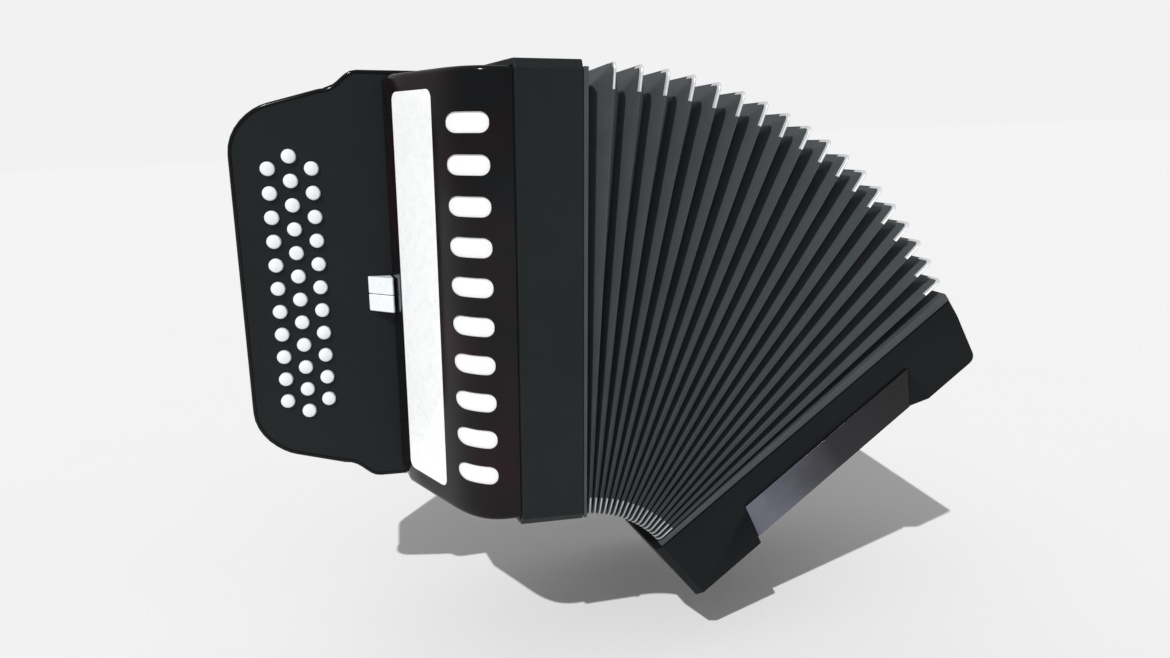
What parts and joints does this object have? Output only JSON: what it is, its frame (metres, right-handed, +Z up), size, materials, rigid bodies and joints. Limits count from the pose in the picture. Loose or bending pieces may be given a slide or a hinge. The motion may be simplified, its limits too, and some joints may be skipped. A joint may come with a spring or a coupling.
{
  "type": "button accordion",
  "caption": "Compact button accordion, bellows fanned open: slotted grille cover, white buttons on a stepped fingerboard, register tabs, tilted bass end with palm recess and hand strap.",
  "frame": {"origin": "middle of the treble casing's flat back, which rests against the player", "axes": "+Z up along the treble casing, +Y back towards the player (the grille faces -Y), +X from the fingerboard towards the bass end"},
  "size_m": [0.5341, 0.1863, 0.3952],
  "materials": {
    "satin_black": "satin celluloid over wood",
    "gloss_black": "polished",
    "pearl_white": "smooth white",
    "cloth_white": "woven cloth",
    "bellows_card": "cloth-covered card",
    "spruce": "bare",
    "leather": "grained",
    "corner_nickel": "nickel-plated sheet",
    "palm_gloss": "polished"
  },
  "bodies": {
    "treble_end": {"treble_casing": "satin_black", "treble_cover": "gloss_black", "cover_inlay": "pearl_white", "grille_lining": "cloth_white", "fingerboard": "satin_black", "keyboard_housing": "satin_black", "treble_soundboard": "spruce", "treble_reed_block": "spruce", "bellows_frame_treble": "bellows_card"},
    "bellows_near": {"bellows_section_1": "bellows_card"},
    "bellows_middle": {"bellows_section_2": "bellows_card"},
    "bass_end": {"bellows_section_3": "bellows_card", "bellows_frame_bass": "bellows_card", "bass_casing": "satin_black", "palm_plate": "palm_gloss", "hand_strap": "leather", "bass_reed_block": "spruce"},
    "treble_button_1_01": {"treble_button_1_01": "pearl_white"},
    "treble_button_1_02": {"treble_button_1_02": "pearl_white"},
    "treble_button_1_03": {"treble_button_1_03": "pearl_white"},
    "treble_button_1_04": {"treble_button_1_04": "pearl_white"},
    "treble_button_1_05": {"treble_button_1_05": "pearl_white"},
    "treble_button_1_06": {"treble_button_1_06": "pearl_white"},
    "treble_button_1_07": {"treble_button_1_07": "pearl_white"},
    "treble_button_1_08": {"treble_button_1_08": "pearl_white"},
    "treble_button_1_09": {"treble_button_1_09": "pearl_white"},
    "treble_button_1_10": {"treble_button_1_10": "pearl_white"},
    "treble_button_1_11": {"treble_button_1_11": "pearl_white"},
    "treble_button_2_01": {"treble_button_2_01": "pearl_white"},
    "treble_button_2_02": {"treble_button_2_02": "pearl_white"},
    "treble_button_2_03": {"treble_button_2_03": "pearl_white"},
    "treble_button_2_04": {"treble_button_2_04": "pearl_white"},
    "treble_button_2_05": {"treble_button_2_05": "pearl_white"},
    "treble_button_2_06": {"treble_button_2_06": "pearl_white"},
    "treble_button_2_07": {"treble_button_2_07": "pearl_white"},
    "treble_button_2_08": {"treble_button_2_08": "pearl_white"},
    "treble_button_2_09": {"treble_button_2_09": "pearl_white"},
    "treble_button_2_10": {"treble_button_2_10": "pearl_white"},
    "treble_button_2_11": {"treble_button_2_11": "pearl_white"},
    "treble_button_2_12": {"treble_button_2_12": "pearl_white"},
    "treble_button_3_01": {"treble_button_3_01": "pearl_white"},
    "treble_button_3_02": {"treble_button_3_02": "pearl_white"},
    "treble_button_3_03": {"treble_button_3_03": "pearl_white"},
    "treble_button_3_04": {"treble_button_3_04": "pearl_white"},
    "treble_button_3_05": {"treble_button_3_05": "pearl_white"},
    "treble_button_3_06": {"treble_button_3_06": "pearl_white"},
    "treble_button_3_07": {"treble_button_3_07": "pearl_white"},
    "treble_button_3_08": {"treble_button_3_08": "pearl_white"},
    "treble_button_3_09": {"treble_button_3_09": "pearl_white"},
    "treble_button_3_10": {"treble_button_3_10": "pearl_white"},
    "treble_button_3_11": {"treble_button_3_11": "pearl_white"},
    "bass_button_1_1": {"bass_button_1_1": "pearl_white"},
    "bass_button_1_2": {"bass_button_1_2": "pearl_white"},
    "bass_button_1_3": {"bass_button_1_3": "pearl_white"},
    "bass_button_2_1": {"bass_button_2_1": "pearl_white"},
    "bass_button_2_2": {"bass_button_2_2": "pearl_white"},
    "bass_button_2_3": {"bass_button_2_3": "pearl_white"},
    "air_button": {"air_button": "pearl_white"},
    "register_tab_upper": {"register_tab_upper": "pearl_white"},
    "register_tab_lower": {"register_tab_lower": "pearl_white"}
  },
  "joints": [
    {"name": "bellows_fan_1", "type": "hinge", "parent": "treble_end", "child": "bellows_near", "pos_m": [0.0416, -0.0925, -0.15422], "axis": [0, 1, 0], "range_deg": [-16.4, 6], "deforming": ["bellows_section_1"]},
    {"name": "bellows_fan_2", "type": "hinge", "parent": "bellows_near", "child": "bellows_middle", "pos_m": [0.06106, -0.0925, -0.16052], "axis": [0, 1, 0], "range_deg": [-16.4, 6], "deforming": ["bellows_section_2"]},
    {"name": "bellows_fan_3", "type": "hinge", "parent": "bellows_middle", "child": "bass_end", "pos_m": [0.07796, -0.0925, -0.17203], "axis": [0, 1, 0], "range_deg": [-16.4, 6], "deforming": ["bellows_section_3"]},
    {"name": "treble_button_1_01_press", "type": "slide", "parent": "treble_end", "child": "treble_button_1_01", "axis": [0, 1, 0], "range_m": [0, 0.003], "stiffness_N_per_m": 200, "springref_m": -0.002},
    {"name": "treble_button_1_02_press", "type": "slide", "parent": "treble_end", "child": "treble_button_1_02", "axis": [0, 1, 0], "range_m": [0, 0.003], "stiffness_N_per_m": 200, "springref_m": -0.002},
    {"name": "treble_button_1_03_press", "type": "slide", "parent": "treble_end", "child": "treble_button_1_03", "axis": [0, 1, 0], "range_m": [0, 0.003], "stiffness_N_per_m": 200, "springref_m": -0.002},
    {"name": "treble_button_1_04_press", "type": "slide", "parent": "treble_end", "child": "treble_button_1_04", "axis": [0, 1, 0], "range_m": [0, 0.003], "stiffness_N_per_m": 200, "springref_m": -0.002},
    {"name": "treble_button_1_05_press", "type": "slide", "parent": "treble_end", "child": "treble_button_1_05", "axis": [0, 1, 0], "range_m": [0, 0.003], "stiffness_N_per_m": 200, "springref_m": -0.002},
    {"name": "treble_button_1_06_press", "type": "slide", "parent": "treble_end", "child": "treble_button_1_06", "axis": [0, 1, 0], "range_m": [0, 0.003], "stiffness_N_per_m": 200, "springref_m": -0.002},
    {"name": "treble_button_1_07_press", "type": "slide", "parent": "treble_end", "child": "treble_button_1_07", "axis": [0, 1, 0], "range_m": [0, 0.003], "stiffness_N_per_m": 200, "springref_m": -0.002},
    {"name": "treble_button_1_08_press", "type": "slide", "parent": "treble_end", "child": "treble_button_1_08", "axis": [0, 1, 0], "range_m": [0, 0.003], "stiffness_N_per_m": 200, "springref_m": -0.002},
    {"name": "treble_button_1_09_press", "type": "slide", "parent": "treble_end", "child": "treble_button_1_09", "axis": [0, 1, 0], "range_m": [0, 0.003], "stiffness_N_per_m": 200, "springref_m": -0.002},
    {"name": "treble_button_1_10_press", "type": "slide", "parent": "treble_end", "child": "treble_button_1_10", "axis": [0, 1, 0], "range_m": [0, 0.003], "stiffness_N_per_m": 200, "springref_m": -0.002},
    {"name": "treble_button_1_11_press", "type": "slide", "parent": "treble_end", "child": "treble_button_1_11", "axis": [0, 1, 0], "range_m": [0, 0.003], "stiffness_N_per_m": 200, "springref_m": -0.002},
    {"name": "treble_button_2_01_press", "type": "slide", "parent": "treble_end", "child": "treble_button_2_01", "axis": [0, 1, 0], "range_m": [0, 0.003], "stiffness_N_per_m": 200, "springref_m": -0.002},
    {"name": "treble_button_2_02_press", "type": "slide", "parent": "treble_end", "child": "treble_button_2_02", "axis": [0, 1, 0], "range_m": [0, 0.003], "stiffness_N_per_m": 200, "springref_m": -0.002},
    {"name": "treble_button_2_03_press", "type": "slide", "parent": "treble_end", "child": "treble_button_2_03", "axis": [0, 1, 0], "range_m": [0, 0.003], "stiffness_N_per_m": 200, "springref_m": -0.002},
    {"name": "treble_button_2_04_press", "type": "slide", "parent": "treble_end", "child": "treble_button_2_04", "axis": [0, 1, 0], "range_m": [0, 0.003], "stiffness_N_per_m": 200, "springref_m": -0.002},
    {"name": "treble_button_2_05_press", "type": "slide", "parent": "treble_end", "child": "treble_button_2_05", "axis": [0, 1, 0], "range_m": [0, 0.003], "stiffness_N_per_m": 200, "springref_m": -0.002},
    {"name": "treble_button_2_06_press", "type": "slide", "parent": "treble_end", "child": "treble_button_2_06", "axis": [0, 1, 0], "range_m": [0, 0.003], "stiffness_N_per_m": 200, "springref_m": -0.002},
    {"name": "treble_button_2_07_press", "type": "slide", "parent": "treble_end", "child": "treble_button_2_07", "axis": [0, 1, 0], "range_m": [0, 0.003], "stiffness_N_per_m": 200, "springref_m": -0.002},
    {"name": "treble_button_2_08_press", "type": "slide", "parent": "treble_end", "child": "treble_button_2_08", "axis": [0, 1, 0], "range_m": [0, 0.003], "stiffness_N_per_m": 200, "springref_m": -0.002},
    {"name": "treble_button_2_09_press", "type": "slide", "parent": "treble_end", "child": "treble_button_2_09", "axis": [0, 1, 0], "range_m": [0, 0.003], "stiffness_N_per_m": 200, "springref_m": -0.002},
    {"name": "treble_button_2_10_press", "type": "slide", "parent": "treble_end", "child": "treble_button_2_10", "axis": [0, 1, 0], "range_m": [0, 0.003], "stiffness_N_per_m": 200, "springref_m": -0.002},
    {"name": "treble_button_2_11_press", "type": "slide", "parent": "treble_end", "child": "treble_button_2_11", "axis": [0, 1, 0], "range_m": [0, 0.003], "stiffness_N_per_m": 200, "springref_m": -0.002},
    {"name": "treble_button_2_12_press", "type": "slide", "parent": "treble_end", "child": "treble_button_2_12", "axis": [0, 1, 0], "range_m": [0, 0.003], "stiffness_N_per_m": 200, "springref_m": -0.002},
    {"name": "treble_button_3_01_press", "type": "slide", "parent": "treble_end", "child": "treble_button_3_01", "axis": [0, 1, 0], "range_m": [0, 0.003], "stiffness_N_per_m": 200, "springref_m": -0.002},
    {"name": "treble_button_3_02_press", "type": "slide", "parent": "treble_end", "child": "treble_button_3_02", "axis": [0, 1, 0], "range_m": [0, 0.003], "stiffness_N_per_m": 200, "springref_m": -0.002},
    {"name": "treble_button_3_03_press", "type": "slide", "parent": "treble_end", "child": "treble_button_3_03", "axis": [0, 1, 0], "range_m": [0, 0.003], "stiffness_N_per_m": 200, "springref_m": -0.002},
    {"name": "treble_button_3_04_press", "type": "slide", "parent": "treble_end", "child": "treble_button_3_04", "axis": [0, 1, 0], "range_m": [0, 0.003], "stiffness_N_per_m": 200, "springref_m": -0.002},
    {"name": "treble_button_3_05_press", "type": "slide", "parent": "treble_end", "child": "treble_button_3_05", "axis": [0, 1, 0], "range_m": [0, 0.003], "stiffness_N_per_m": 200, "springref_m": -0.002},
    {"name": "treble_button_3_06_press", "type": "slide", "parent": "treble_end", "child": "treble_button_3_06", "axis": [0, 1, 0], "range_m": [0, 0.003], "stiffness_N_per_m": 200, "springref_m": -0.002},
    {"name": "treble_button_3_07_press", "type": "slide", "parent": "treble_end", "child": "treble_button_3_07", "axis": [0, 1, 0], "range_m": [0, 0.003], "stiffness_N_per_m": 200, "springref_m": -0.002},
    {"name": "treble_button_3_08_press", "type": "slide", "parent": "treble_end", "child": "treble_button_3_08", "axis": [0, 1, 0], "range_m": [0, 0.003], "stiffness_N_per_m": 200, "springref_m": -0.002},
    {"name": "treble_button_3_09_press", "type": "slide", "parent": "treble_end", "child": "treble_button_3_09", "axis": [0, 1, 0], "range_m": [0, 0.003], "stiffness_N_per_m": 200, "springref_m": -0.002},
    {"name": "treble_button_3_10_press", "type": "slide", "parent": "treble_end", "child": "treble_button_3_10", "axis": [0, 1, 0], "range_m": [0, 0.003], "stiffness_N_per_m": 200, "springref_m": -0.002},
    {"name": "treble_button_3_11_press", "type": "slide", "parent": "treble_end", "child": "treble_button_3_11", "axis": [0, 1, 0], "range_m": [0, 0.003], "stiffness_N_per_m": 200, "springref_m": -0.002},
    {"name": "register_tab_upper_press", "type": "slide", "parent": "treble_end", "child": "register_tab_upper", "axis": [0, 1, 0], "range_m": [0, 0.0025], "stiffness_N_per_m": 400, "springref_m": -0.002},
    {"name": "register_tab_lower_press", "type": "slide", "parent": "treble_end", "child": "register_tab_lower", "axis": [0, 1, 0], "range_m": [0, 0.0025], "stiffness_N_per_m": 400, "springref_m": -0.002},
    {"name": "bass_button_1_1_press", "type": "slide", "parent": "bass_end", "child": "bass_button_1_1", "axis": [-0.6225, 0, 0.7826], "range_m": [0, 0.003], "stiffness_N_per_m": 200, "springref_m": -0.002},
    {"name": "bass_button_1_2_press", "type": "slide", "parent": "bass_end", "child": "bass_button_1_2", "axis": [-0.6225, 0, 0.7826], "range_m": [0, 0.003], "stiffness_N_per_m": 200, "springref_m": -0.002},
    {"name": "bass_button_1_3_press", "type": "slide", "parent": "bass_end", "child": "bass_button_1_3", "axis": [-0.6225, 0, 0.7826], "range_m": [0, 0.003], "stiffness_N_per_m": 200, "springref_m": -0.002},
    {"name": "bass_button_2_1_press", "type": "slide", "parent": "bass_end", "child": "bass_button_2_1", "axis": [-0.6225, 0, 0.7826], "range_m": [0, 0.003], "stiffness_N_per_m": 200, "springref_m": -0.002},
    {"name": "bass_button_2_2_press", "type": "slide", "parent": "bass_end", "child": "bass_button_2_2", "axis": [-0.6225, 0, 0.7826], "range_m": [0, 0.003], "stiffness_N_per_m": 200, "springref_m": -0.002},
    {"name": "bass_button_2_3_press", "type": "slide", "parent": "bass_end", "child": "bass_button_2_3", "axis": [-0.6225, 0, 0.7826], "range_m": [0, 0.003], "stiffness_N_per_m": 200, "springref_m": -0.002},
    {"name": "air_button_press", "type": "slide", "parent": "bass_end", "child": "air_button", "axis": [-0.6225, 0, 0.7826], "range_m": [0, 0.003], "stiffness_N_per_m": 300, "springref_m": -0.002}
  ],
  "couplings": [
    {"joint": "bellows_fan_2", "follows": "bellows_fan_1", "ratio": 1},
    {"joint": "bellows_fan_3", "follows": "bellows_fan_1", "ratio": 1}
  ]
}
